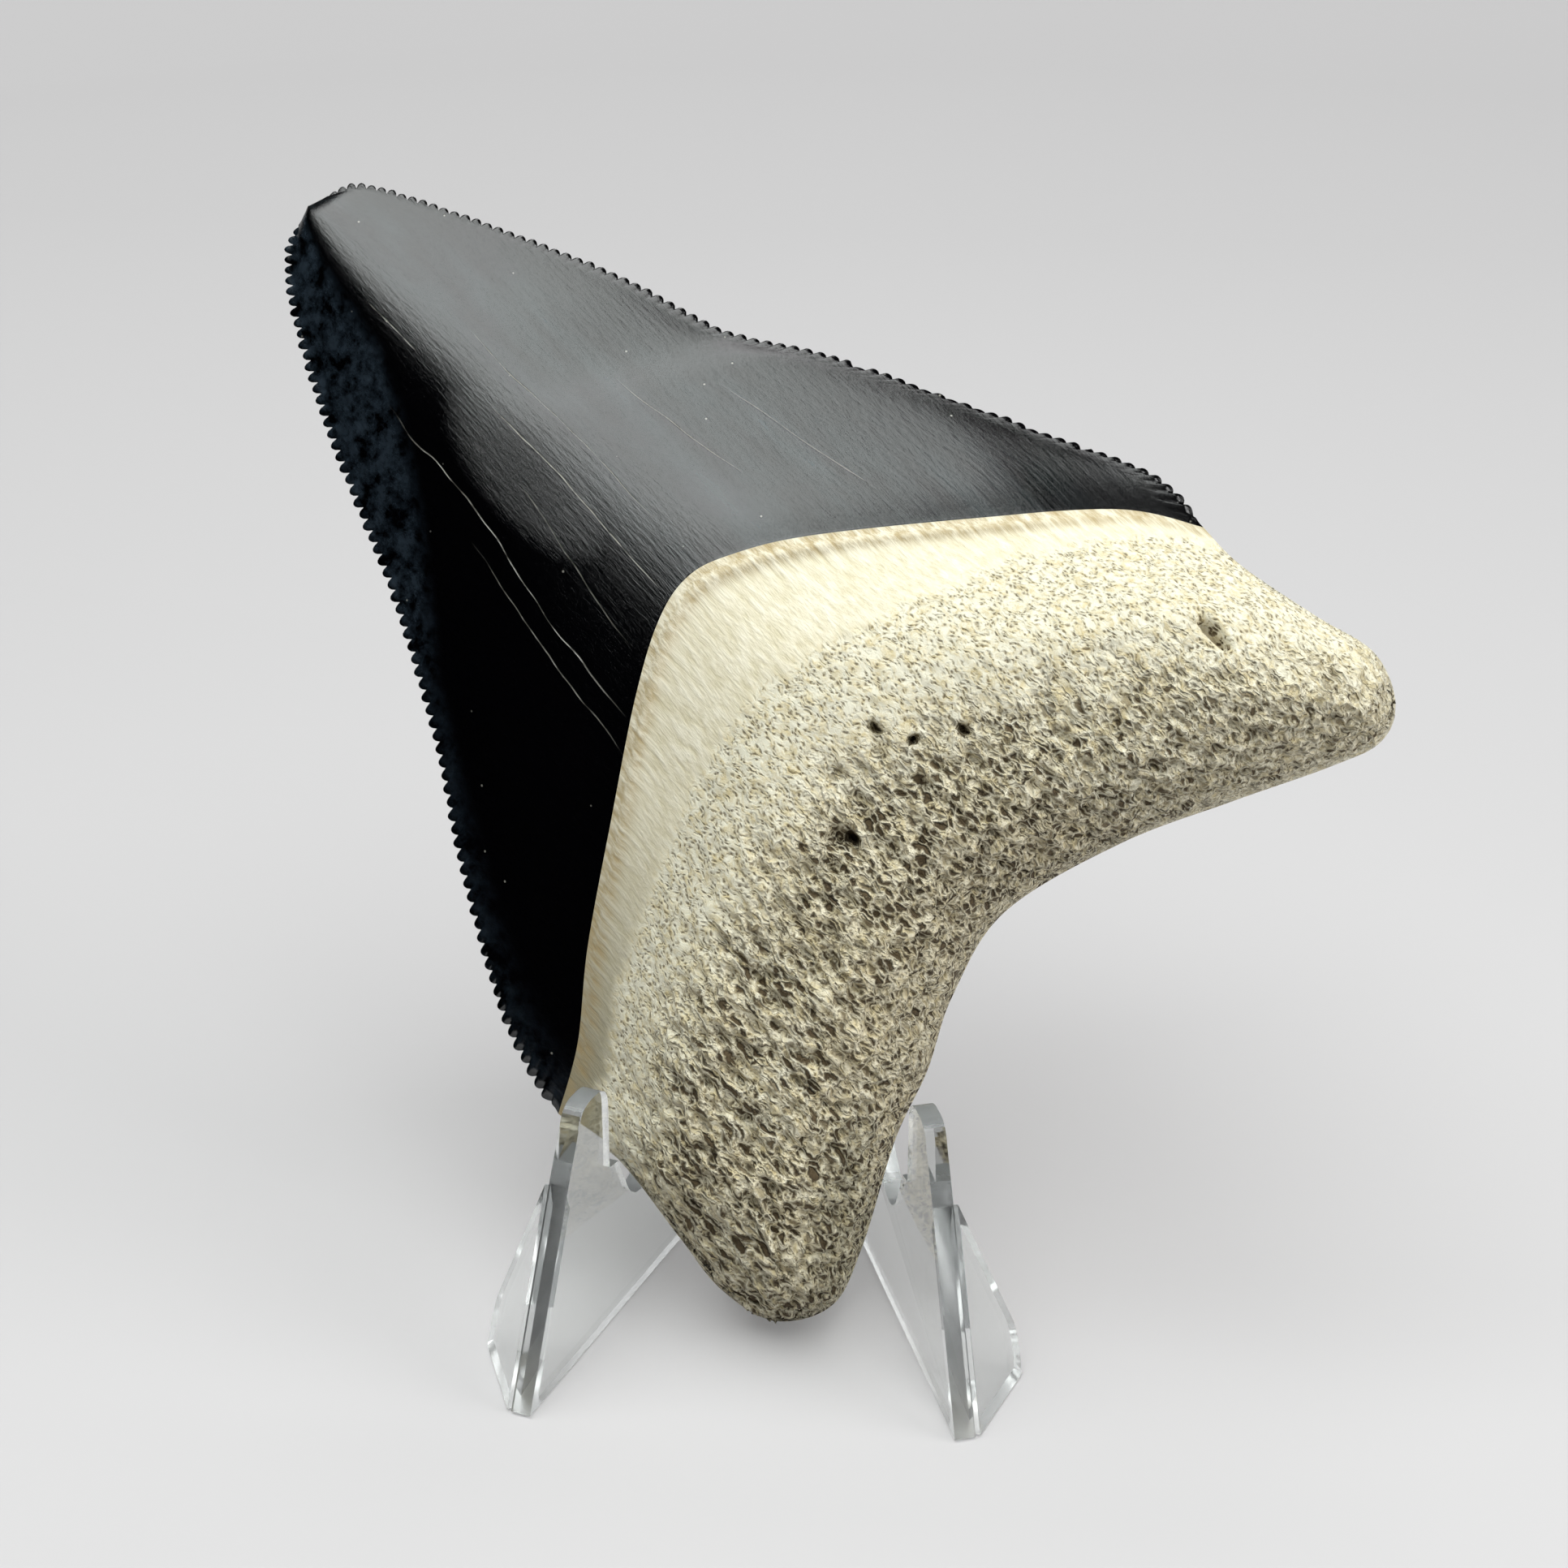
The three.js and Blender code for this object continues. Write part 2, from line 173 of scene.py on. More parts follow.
def crown_face(face, u, v):
    """Crown: a chord between the two edges at v, arched towards the enamel line and raised by the roof
    section. Close to the edges it is drawn out into the beads."""
    s = ((u + 1) / 2)[None, :, None]
    left, right = along(LEFT_EDGE, 0, len(LEFT_EDGE) - 1, v), along(RIGHT_EDGE, 0, len(RIGHT_EDGE) - 1, v)
    corners = np.array(CORNER_LEFT) * (1 - s[0]) + np.array(CORNER_RIGHT) * s[0]
    arch = enamel_line(face, u) - corners
    flat = left[:, None] * (1 - s) + right[:, None] * s + arch[None] * (v ** ARCH_GROWTH)[:, None, None]
    for path, beads in ((left, LEFT_BEADS), (right, RIGHT_BEADS)):
        tangent = np.gradient(path, axis=0)
        tangent /= np.maximum(np.linalg.norm(tangent, axis=1), 1e-9)[:, None]
        outward = np.stack([-tangent[:, 1], tangent[:, 0]], -1) * beads["hand"]
        reach = smoothstep(beads["hand"] * u, BEAD_REACH, 1.0)[None, :, None]
        flat = flat + (outward * beads["depth"] * bead_row(v, beads)[:, None])[:, None] * reach
    height = ridge(face, u, v, flat[..., 0])
    return np.concatenate([flat, face["side"] * height[..., None]], -1)


def root_face(face, u, v):
    """Root: a patch between the enamel line and the base with the root's sides, evened out at the lobes' ends
    by neighbour means, and raised to a swelling that falls in a quarter circle at the outline. A low rim runs
    beside the enamel line."""
    s, w = ((u + 1) / 2)[None, :, None], v[:, None, None]
    top, base = enamel_line(face, u), across(ROOT_OUTLINE, LOBE_LEFT, NOTCH, LOBE_RIGHT, u)
    flat = top[None] * (1 - w) + base[None] * w
    left = along(ROOT_OUTLINE, 0, LOBE_LEFT, v)
    right = along(ROOT_OUTLINE, LOBE_RIGHT, len(ROOT_OUTLINE) - 1, 1 - v)
    flat = flat + (left[:, None] - flat[:, :1]) * (1 - s) + (right[:, None] - flat[:, -1:]) * s
    beside, low = smoothstep(1 - np.abs(u), 0.3, 0.1), smoothstep(1 - v, 0.3, 0.1)
    lobe_end = beside[None, 1:-1, None] * low[1:-1, None, None]
    for _ in range(EVENING_PASSES):
        mean = (flat[:-2, 1:-1] + flat[2:, 1:-1] + flat[1:-1, :-2] + flat[1:-1, 2:]) / 4
        flat[1:-1, 1:-1] += lobe_end * (mean - flat[1:-1, 1:-1])
    outline = along(ROOT_OUTLINE, 0, len(ROOT_OUTLINE) - 1, np.linspace(0, 1, OUTLINE_POINTS))
    gap = np.min([np.hypot(*np.moveaxis(flat - p, -1, 0)) for p in outline], axis=0)
    gap[-1], gap[:, 0], gap[:, -1] = 0, 0, 0
    inset = np.minimum(gap / face["rounding"], 1)
    swell = face["swelling"] * (1 - face["thinning"] * u ** 2)[None] * np.sqrt(1 - (1 - inset) ** 2)
    blend = smoothstep(v, 0, 0.45)[:, None]
    rim = np.exp(-((v - RIM_AT) / RIM_WIDTH) ** 2) * np.minimum(v / RIM_AT, 1)
    height = ridge(face, u, np.ones_like(v), flat[:1, :, 0]) * (1 - blend) + swell * blend
    height = height + face["rim"] * rim[:, None] * (1 - u ** 4)[None]
    return np.concatenate([flat, face["side"] * height[..., None]], -1)


def nearest_cell(points, size, seed):
    """Distance from each point to the nearest of a scatter of centres, one to a cell of the given size,
    counted in cells; and that centre's own number from 0 to 1."""
    spot = points / size
    corner = np.floor(spot)
    best, own = np.full(len(spot), 9.0), np.zeros(len(spot))
    for step in np.ndindex(3, 3, 3):
        cell = corner + np.array(step) - 1
        draw = scatter(cell, seed)
        gap = np.linalg.norm(spot - cell - draw, axis=1)
        own = np.where(gap < best, draw[:, 0], own)
        best = np.minimum(best, gap)
    return best, own


def columns(count):
    """Places from -1 to 1 across a face, closer together towards both edges by a power of the distance."""
    t = np.linspace(-1, 1, count + 1)
    return np.sign(t) * (1 - (1 - np.abs(t)) ** COLUMN_CROWDING)


def quads(index):
    """Four-cornered faces between the neighbouring rows and columns of a grid of vertex numbers."""
    return np.stack([index[:-1, :-1], index[1:, :-1], index[1:, 1:], index[:-1, 1:]], -1).reshape(-1, 4)


# Each face is a crown grid and a finer root grid, joined along the enamel line by many-cornered faces.
# Points at the same place become one, which closes the tip, the edges and the root's outline.
crown_v = (np.arange(SERRATIONS * BEAD_STEPS) / (SERRATIONS * BEAD_STEPS)) ** CROWDING
crown_u, root_u = columns(CROWN_COLUMNS), columns(CROWN_COLUMNS * ROOT_SPLIT)
points, faces, dentine, spans, falls = [], [], [], [], []
start = 0
for face, rows in ((LINGUAL, LINGUAL_ROWS), (LABIAL, LABIAL_ROWS)):
    root_v = np.linspace(0, 1, rows + 1)
    crown, root = crown_face(face, crown_u, crown_v), root_face(face, root_u, root_v)
    crown_index = start + np.arange(crown[..., 0].size).reshape(crown.shape[:2])
    root_index = start + crown_index.size + np.arange(root[..., 0].size).reshape(root.shape[:2])
    start += crown_index.size + root_index.size
    points += [crown.reshape(-1, 3), root.reshape(-1, 3)]
    spans += [np.tile(crown_u, len(crown_v)), np.tile(root_u, rows + 1)]
    falls += [np.zeros(crown_index.size), np.repeat(root_v, len(root_u))]
    lower = np.arange(CROWN_COLUMNS)[:, None] * ROOT_SPLIT + np.arange(ROOT_SPLIT + 1)
    fans = np.column_stack([crown_index[-1, :-1], root_index[0][lower], crown_index[-1, 1:]])
    tips = np.column_stack([crown_index[0, :-1], crown_index[1, :-1], crown_index[1, 1:]])
    parts = [(tips, 0), (quads(crown_index[1:]), 0), (fans, 0)]
    if face is LINGUAL:
        outer, outer_rows = root_index, rows
        parts.append((quads(root_index), 1))
    else:
        steps = np.arange(rows)[:, None] * (outer_rows // rows) + np.arange(outer_rows // rows + 1)
        left_side = [outer[:, 0][steps], root_index[1:, 1], root_index[:-1, 1]]
        right_side = [root_index[:-1, -2], root_index[1:, -2], outer[:, -1][steps[:, ::-1]]]
        parts.append((quads(root_index[:, 1:-1]), 1))
        parts += [(np.column_stack(left_side), 1), (np.column_stack(right_side), 1)]
    for part, is_root in parts:
        faces.append(part[:, ::face["side"]])
        dentine.append(np.full(len(part), is_root))
points, spans, falls = np.concatenate(points), np.concatenate(spans), np.concatenate(falls)
rounded = np.round(points * 1e4).astype(int)
_, keep, joined = np.unique(rounded, axis=0, return_index=True, return_inverse=True)
natural, spans, falls, joined = points[keep], spans[keep], falls[keep], joined.reshape(-1)
faces = [joined[part] for part in faces]

tooth_mesh = bpy.data.meshes.new("tooth_fossil")
tooth_mesh.from_pydata(natural, [], [row for part in faces for row in part.tolist()])
normals = np.zeros(natural.size)
tooth_mesh.vertex_normals.foreach_get("vector", normals)
normals = normals.reshape(-1, 3)

# Root relief: pores drawn out from the crown towards the base, small and shallow under the enamel, large and
# crowded towards the lobes, over low swellings; the enamel and the band below it stay smooth. Millimetres.
BAND_LINE = np.array([
    (-29.7, 18.2), (-26.7, 19.6), (-19.5, 24.5), (-9.4, 29.2), (-0.9, 31.4), (7.6, 30.1), (17.5, 26.7),
    (25.3, 21.4), (27.5, 18.0),
])
WIDE_PORE, FINE_PORE = np.array([0.85, 2.0, 0.95]), np.array([0.55, 1.2, 0.7])
LOW_SWELLING, RAGGED_EDGE = np.array([4.0, 6.5, 4.0]), np.array([1.2, 2.6, 2.0])
PORE_DEPTH, SWELLING_DEPTH, HOLLOW_DEPTH = 0.75, 0.45, 1.5
HOLLOWS = (
    ((-2.4, 20.0), (0.5, 0.75), 1.0), ((-3.1, 20.7), (1.3, 0.8), 0.35), ((22.9, 14.0), (0.6, 1.9), 0.7),
    ((7.4, 20.2), (0.36, 0.65), 0.9), ((3.4, 24.0), (0.3, 0.7), 0.9), ((4.6, 21.9), (0.55, 0.35), 0.8),
)
band_y = np.interp(natural[:, 0], *spline(BAND_LINE, np.linspace(0, len(BAND_LINE) - 1, 200)).T)
below = band_y - natural[:, 1]
on_root = np.zeros(len(natural))
on_root[np.concatenate([part.reshape(-1) for part, d in zip(faces, dentine) if d[0]])] = 1
waver = nearest_cell(natural, RAGGED_EDGE, 5.0)[0] - 0.5
front = natural[:, 2] > 0
below = np.where(front, below, 2.5 + 0.4 * below)
porous = on_root * smoothstep(below + 1.2 * waver, 0.2, 1.6)
depth = on_root * smoothstep(below + 4.0 * waver - 0.12 * natural[:, 0], 5.0, 12.5)
depth = depth * (1 - 0.3 * smoothstep(natural[:, 0], 5.0, 20.0))
pit, size = nearest_cell(natural, WIDE_PORE, 1.0)
coarse = np.clip(1.15 - 1.6 * pit, 0, 1) * (0.5 + 0.5 * size)
pit, size = nearest_cell(natural, FINE_PORE, 2.0)
fine = np.clip(1.1 - 1.7 * pit, 0, 1) * (0.3 + 0.7 * size)
hollow = np.zeros(len(natural))
for spot, reach, fall in HOLLOWS:
    gap = np.linalg.norm((natural[:, :2] - spot) / reach, axis=1)
    hollow = np.maximum(hollow, front * fall * smoothstep(gap, 1.0, 0.4))
lump = nearest_cell(natural, LOW_SWELLING, 4.0)[0]
pits = porous * np.clip(depth * coarse + (0.35 + 0.4 * depth) * fine, 0, 1.3)
sink = PORE_DEPTH * pits + SWELLING_DEPTH * porous * (0.35 + 0.65 * depth) * lump + HOLLOW_DEPTH * hollow
sink = sink * smoothstep(np.abs(natural[:, 2]), 0.1, 1.2)
surface = natural - normals * sink[:, None]

# Place of the tooth: leaning back and rolled until its tip points up and to the left, over the easel's foot.
LEAN, ROLL = 24, 45
TOOTH_AT = np.array([21.3, 19.3, 18.36372])
EASEL_DEPTH = 41.5
stand_low, stand_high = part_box("stand")
tooth_low, tooth_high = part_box("tooth")
stand_middle = (stand_low + stand_high) / 2
stand_origin = Vector((stand_middle.x, stand_middle.y - EASEL_DEPTH * MM / 2, 0))
placing = Matrix.Rotation(math.radians(90 - LEAN), 3, "X") @ Matrix.Rotation(math.radians(ROLL), 3, "Z")
placed = surface * MM @ np.array(placing).T + (np.array(stand_origin) + TOOTH_AT * MM)
placed = np.clip(placed, tooth_low, tooth_high)
tooth_mesh.vertices.foreach_set("co", placed.astype(np.float32).reshape(-1))
# The pit attribute marks the pores and hollows that the dentine's colour darkens as painted shade.
for name, kind, values in (
    ("natural", "FLOAT_VECTOR", surface),
    ("band", "FLOAT", on_root - porous),
    ("pit", "FLOAT", np.clip(0.15 * pits + hollow, 0, 1)),
    ("depth", "FLOAT", depth),
    ("across", "FLOAT", spans),
    ("rim", "FLOAT", smoothstep(falls, 0.075, 0.035) * front),
):
    attribute = tooth_mesh.attributes.new(name, kind, "POINT")
    field = "vector" if kind == "FLOAT_VECTOR" else "value"
    attribute.data.foreach_set(field, values.astype(np.float32).reshape(-1))
tooth_mesh.polygons.foreach_set("material_index", np.concatenate(dentine).astype(np.int32))
tooth_mesh.polygons.foreach_set("use_smooth", np.ones(len(tooth_mesh.polygons), bool))
tooth_mesh.update()
tooth_fossil = bpy.data.objects.new("tooth_fossil", tooth_mesh)
bpy.context.scene.collection.objects.link(tooth_fossil)


def linear(code):
    """Linear colour of an sRGB hex code, with alpha 1."""
    srgb = np.array([int(code[k:k + 2], 16) for k in (1, 3, 5)]) / 255
    return (*np.where(srgb > 0.04045, ((srgb + 0.055) / 1.055) ** 2.4, srgb / 12.92), 1.0)


def new_material(name):
    """A new material with its node tree and its shader."""
    material = bpy.data.materials.new(name)
    material.use_nodes = True
    return material, material.node_tree, material.node_tree.nodes["Principled BSDF"]


def add(tree, kind, inputs, output=0, **settings):
    """Adds a node with its settings; each input is a socket to link from or a value to set. Returns the
    output that is asked for."""
    made = tree.nodes.new("ShaderNode" + kind)
    for key, value in settings.items():
        setattr(made, key, value)
    for key, value in inputs.items():
        if isinstance(value, bpy.types.NodeSocket):
            tree.links.new(value, made.inputs[key])
        else:
            made.inputs[key].default_value = value
    return made.outputs[output]


# Fossil enamel: black mineralised enamel, polished by wear. It mirrors the lamps softly, with light hairline
# cracks from tip to base, faint grey streaks painted as sheen on the right facet, a mottled blue-black left
# margin and a brushed patch on the crest.
# Patterns are in millimetres of the tooth; a crack is x and y at both ends, its bend and its strength.
CRACKS = (
    (-5.75, 61.2, -7.9, 35.3, 0.7, 0.9), (-0.75, 56.4, -0.6, 39.3, 0.3, 1.0),
    (1.3, 61.2, 2.1, 43.2, 0.3, 0.6), (6.1, 52.3, 8.0, 41.6, 0.3, 0.5),
    (-2.25, 67.0, -2.0, 61.9, 0.2, 0.5), (-8.1, 50.8, -9.6, 33.4, 0.5, 0.55),
    (10.9, 47.6, 13.6, 34.8, 0.3, 0.35), (-2.8, 52.0, -4.6, 38.4, 0.3, 0.3),
)
CRACK_CORE, CRACK_REACH = 0.012, 0.055
STREAK_STRETCH = (1.0, 0.06, 1.0)
STREAKS_PER_MM = 3.0
SHEEN_PER_MM, MOTTLE_PER_MM, BREAKS_PER_MM, WANDER_PER_MM = 0.6, 0.8, 0.8, 0.13
DUST_PER_MM = 0.5
BRUSHED_AT, BRUSHED_REACH = (-2.6, 51.5, 6.5), (0.32, 0.13, 0.1)
enamel, tree, shader = new_material("fossil_enamel")
where = add(tree, "Attribute", {}, "Vector", attribute_name="natural")
x, y = (add(tree, "SeparateXYZ", {0: where}, axis) for axis in "XY")
wander = add(tree, "TexNoise", {"Vector": where, "Scale": WANDER_PER_MM, "Detail": 2.0})
streak_at = add(tree, "VectorMath", {0: where, 1: STREAK_STRETCH}, operation="MULTIPLY")
streaks = {"Vector": streak_at, "Scale": STREAKS_PER_MM, "Detail": 6.0, "Roughness": 0.7}
streaks = add(tree, "TexNoise", streaks)
broken = add(tree, "TexNoise", {"Vector": where, "Scale": BREAKS_PER_MM, "Detail": 3.0})
broken = add(tree, "MapRange", {0: broken, 1: 0.36, 2: 0.6, 3: 0.15, 4: 1.0})
cracks = None
for x0, y0, x1, y1, bend, strength in CRACKS:
    t = add(tree, "MapRange", {0: y, 1: y0, 2: y1}, clamp=False)
    line = add(tree, "MapRange", {0: t, 3: x0, 4: x1}, clamp=False)
    swing = add(tree, "Math", {0: wander, 1: 3.0 * bend, 2: -1.5 * bend}, operation="MULTIPLY_ADD")
    line = add(tree, "Math", {0: line, 1: swing}, operation="ADD")
    gap = add(tree, "Math", {0: x, 1: line}, operation="SUBTRACT")
    gap = add(tree, "Math", {0: gap}, operation="ABSOLUTE")
    ends = add(tree, "Math", {0: t, 1: 0.5}, operation="SUBTRACT")
    ends = add(tree, "Math", {0: ends}, operation="ABSOLUTE")
    ends = add(tree, "MapRange", {0: ends, 1: 0.5, 2: 0.3})
    seen = add(tree, "MapRange", {0: gap, 1: CRACK_CORE, 2: CRACK_REACH, 3: strength, 4: 0.0})
    seen = add(tree, "Math", {0: seen, 1: ends}, operation="MULTIPLY")
    seen = add(tree, "Math", {0: seen, 1: broken}, operation="MULTIPLY")
    cracks = seen if cracks is None else add(tree, "Math", {0: cracks, 1: seen}, operation="MAXIMUM")
side = add(tree, "Attribute", {}, "Fac", attribute_name="across")
reach = add(tree, "MapRange", {0: y, 1: 64.0, 2: 46.0, 3: -0.25, 4: -0.88})
inside = add(tree, "Math", {0: reach, 1: side}, operation="SUBTRACT")
margin = add(tree, "MapRange", {0: inside, 1: 0.0, 2: 0.22}, interpolation_type="SMOOTHSTEP")
mottle = {"Vector": where, "Scale": MOTTLE_PER_MM, "Detail": 6.0, "Roughness": 0.7}
mottle = add(tree, "TexNoise", mottle)
mottle = add(tree, "MapRange", {0: mottle, 1: 0.40, 2: 0.66})
mottle = add(tree, "Math", {0: mottle, 1: margin}, operation="MULTIPLY")
# Painted sheen: faint grey streaks on the right facet, which mirrors the lamps. They fade out at the crest
# and near the right edge, and leave the left facet black.
painted_sheen = {"Vector": streak_at, "Scale": SHEEN_PER_MM, "Detail": 5.0, "Roughness": 0.6}
painted_sheen = add(tree, "TexNoise", painted_sheen)
painted_sheen = add(tree, "MapRange", {0: painted_sheen, 1: 0.38, 2: 0.68})
for low, high in ((-0.05, 0.15), (0.85, 0.5)):
    lit = add(tree, "MapRange", {0: side, 1: low, 2: high})
    painted_sheen = add(tree, "Math", {0: painted_sheen, 1: lit}, operation="MULTIPLY")
colour = add(tree, "MixRGB", {0: painted_sheen, 1: linear("#020203"), 2: linear("#222a2c")})
colour = add(tree, "MixRGB", {0: mottle, 1: colour, 2: linear("#26313b")})
dust = add(tree, "TexVoronoi", {"Vector": where, "Scale": DUST_PER_MM})
dust = add(tree, "MapRange", {0: dust, 1: 0.02, 2: 0.05, 3: 0.6, 4: 0.0})
marks = add(tree, "Math", {0: cracks, 1: dust}, operation="MAXIMUM")
colour = add(tree, "MixRGB", {0: marks, 1: colour, 2: linear("#a7a59c")})
tree.links.new(colour, shader.inputs["Base Color"])
rough = add(tree, "MapRange", {0: streaks, 1: 0.3, 2: 0.7, 3: 0.10, 4: 0.18})
rough = add(tree, "Math", {0: mottle, 1: 0.25, 2: rough}, operation="MULTIPLY_ADD")
tree.links.new(rough, shader.inputs["Roughness"])
brushed = add(tree, "VectorMath", {0: where, 1: BRUSHED_AT}, operation="SUBTRACT")
brushed = add(tree, "VectorMath", {0: brushed, 1: BRUSHED_REACH}, operation="MULTIPLY")
brushed = add(tree, "VectorMath", {0: brushed}, "Value", operation="LENGTH")
brushed = add(tree, "MapRange", {0: brushed, 1: 1.0, 2: 0.0, 3: 0.05, 4: 0.30})
relief = add(tree, "Math", {0: streaks, 1: brushed}, operation="MULTIPLY")
relief = add(tree, "Math", {0: cracks, 1: -0.04, 2: relief}, operation="MULTIPLY_ADD")
bump = add(tree, "Bump", {"Height": relief, "Strength": 1.0, "Distance": 0.001})
tree.links.new(bump, shader.inputs["Normal"])
shader.inputs["IOR"].default_value = 1.62

# Fossil dentine: the chalky cream bone of the root, dry and rough. Its pores are tinted tan, partly as
# sediment and partly as painted shade, and are painted dark brown in their depths as shade.
# They form a net of thin bright walls, longer on the left lobe. Under the enamel lies a smooth band with fine
# striae. Patterns are in millimetres: pores about half a millimetre wide, small ones half of that.
PORES_PER_MM, SMALL_PORES_PER_MM, GRAIN_PER_MM, STRIAE_PER_MM = 2.1, 4.0, 2.2, 2.4
STIR_PER_MM, CLOUDS_PER_MM = 0.9, 0.12
STIR, PORE_STRETCH, FIBRE_STRETCH = (1.1, 1.1, 1.1), (1.0, 0.48, 1.0), (1.0, 0.24, 1.0)
STRIAE_STRETCH = (1.0, 0.07, 1.0)
dentine_stone, tree, shader = new_material("fossil_dentine")
where = add(tree, "Attribute", {}, "Vector", attribute_name="natural")
band, pit, depth, rim = (
    add(tree, "Attribute", {}, "Fac", attribute_name=name) for name in ("band", "pit", "depth", "rim")
)
x = add(tree, "SeparateXYZ", {0: where})
stir = add(tree, "TexNoise", {"Vector": where, "Scale": STIR_PER_MM, "Detail": 3.0}, "Color")
stirred = add(tree, "VectorMath", {0: stir, 1: STIR, 2: where}, operation="MULTIPLY_ADD")
drawn = add(tree, "VectorMath", {0: stirred, 1: PORE_STRETCH}, operation="MULTIPLY")
fibres = add(tree, "VectorMath", {0: stirred, 1: FIBRE_STRETCH}, operation="MULTIPLY")
bare = add(tree, "Math", {0: 1.0, 1: band}, operation="SUBTRACT")
lobe = add(tree, "MapRange", {0: x, 1: -4.0, 2: -15.0})
nets = []
for pore_at in (drawn, fibres):
    cell = {"Vector": pore_at, "Scale": PORES_PER_MM}
    walls = add(tree, "TexVoronoi", cell, feature="DISTANCE_TO_EDGE")
    walls = add(tree, "MapRange", {0: walls, 1: 0.03, 2: 0.30})
    own = add(tree, "SeparateColor", {0: add(tree, "TexVoronoi", cell, "Color")})
    own = add(tree, "MapRange", {0: own, 1: 0.1, 2: 0.9, 3: 0.5, 4: 1.3})
    nets.append(add(tree, "Math", {0: walls, 1: own}, operation="MULTIPLY"))
net = add(tree, "MixRGB", {0: lobe, 1: nets[0], 2: nets[1]})
small = add(tree, "TexVoronoi", {"Vector": drawn, "Scale": SMALL_PORES_PER_MM})
grain = add(tree, "TexNoise", {"Vector": drawn, "Scale": GRAIN_PER_MM, "Detail": 8.0, "Roughness": 0.7})
clouds = add(tree, "TexNoise", {"Vector": where, "Scale": CLOUDS_PER_MM, "Detail": 3.0})
stain = add(tree, "MapRange", {0: clouds, 1: 0.25, 2: 0.6})
stain = add(tree, "Math", {0: stain, 1: depth}, operation="MULTIPLY")
root_colour = add(tree, "MixRGB", {0: stain, 1: linear("#ebe7d2"), 2: linear("#eae2c8")})
spots = add(tree, "MapRange", {0: grain, 1: 0.45, 2: 0.66, 3: 0.0, 4: 0.85})
root_colour = add(tree, "MixRGB", {0: spots, 1: root_colour, 2: linear("#d1bf8c")})
striae_at = add(tree, "VectorMath", {0: where, 1: STRIAE_STRETCH}, operation="MULTIPLY")
striae = {"Vector": striae_at, "Scale": STRIAE_PER_MM, "Detail": 6.0, "Roughness": 0.65}
striae = add(tree, "TexNoise", striae)
band_tone = add(tree, "MapRange", {0: striae, 1: 0.35, 2: 0.65})
band_colour = add(tree, "MixRGB", {0: band_tone, 1: linear("#d2c9aa"), 2: linear("#ebe5d0")})
# Painted shade: the band darkens towards its left end, which faces away from the lamps.
painted_left_shade = add(tree, "MapRange", {0: x, 1: -10.0, 2: -27.0, 3: 0.0, 4: 1.0})
band_colour = add(tree, "MixRGB", {0: painted_left_shade, 1: band_colour, 2: linear("#938c74")})
fray = add(tree, "MapRange", {0: striae, 1: 0.35, 2: 0.6, 3: 0.75, 4: 0.1})
fray = add(tree, "Math", {0: fray, 1: rim}, operation="MULTIPLY")
band_colour = add(tree, "MixRGB", {0: fray, 1: band_colour, 2: linear("#a68f62")})
colour = add(tree, "MixRGB", {0: band, 1: root_colour, 2: band_colour})
wide_pit = add(tree, "Math", {0: net, 1: depth}, operation="MULTIPLY")
small_pit = add(tree, "MapRange", {0: small, 1: 0.52, 2: 0.12, 3: 0.0, 4: 0.75})
crowd = add(tree, "MapRange", {0: depth, 3: 0.95, 4: 1.0})
small_pit = add(tree, "Math", {0: small_pit, 1: crowd}, operation="MULTIPLY")
small_pit = add(tree, "Math", {0: small_pit, 1: bare}, operation="MULTIPLY")
# Pore mask for the colour: the tan tint is partly sediment and partly painted shade; the dark brown is
# painted shade in the pores and hollows.
pore_stain_and_shade = add(tree, "Math", {0: wide_pit, 1: small_pit}, operation="MAXIMUM")
pore_stain_and_shade = add(tree, "Math", {0: pit, 1: 0.9, 2: pore_stain_and_shade}, operation="MULTIPLY_ADD", use_clamp=True)
tan = add(tree, "Math", {0: pore_stain_and_shade, 1: 0.75}, operation="MULTIPLY")
colour = add(tree, "MixRGB", {0: tan, 1: colour, 2: linear("#b8a678")})
painted_pore_shade = add(tree, "MapRange", {0: pore_stain_and_shade, 1: 0.36, 2: 0.88, 3: 0.0, 4: 0.95})
colour = add(tree, "MixRGB", {0: painted_pore_shade, 1: colour, 2: linear("#48381f")})
tree.links.new(colour, shader.inputs["Base Color"])
relief = add(tree, "Math", {0: grain, 1: 0.26}, operation="MULTIPLY")
relief = add(tree, "Math", {0: wide_pit, 1: -0.7, 2: relief}, operation="MULTIPLY_ADD")
relief = add(tree, "Math", {0: small_pit, 1: -0.22, 2: relief}, operation="MULTIPLY_ADD")
relief = add(tree, "Math", {0: relief, 1: bare}, operation="MULTIPLY")
striae_relief = add(tree, "Math", {0: striae, 1: 0.25}, operation="MULTIPLY")
relief = add(tree, "Math", {0: striae_relief, 1: band, 2: relief}, operation="MULTIPLY_ADD")
bump = add(tree, "Bump", {"Height": relief, "Strength": 1.0, "Distance": 0.0008})
tree.links.new(bump, shader.inputs["Normal"])
shader.inputs["Roughness"].default_value = 0.75
shader.inputs["IOR"].default_value = 1.45

tooth_mesh.materials.append(enamel)
tooth_mesh.materials.append(dentine_stone)
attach(tooth_fossil, "root")
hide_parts("tooth")

# Easel: one moulded piece of clear acrylic, two upright plates folded to a V at the back with a fin at each
# front edge. It stands on its lower edges; its cut edges are slightly rounded.
SCUFFS_PER_M = 900.0
EDGE_ROUNDING = 0.25 * MM
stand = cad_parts["stand"]
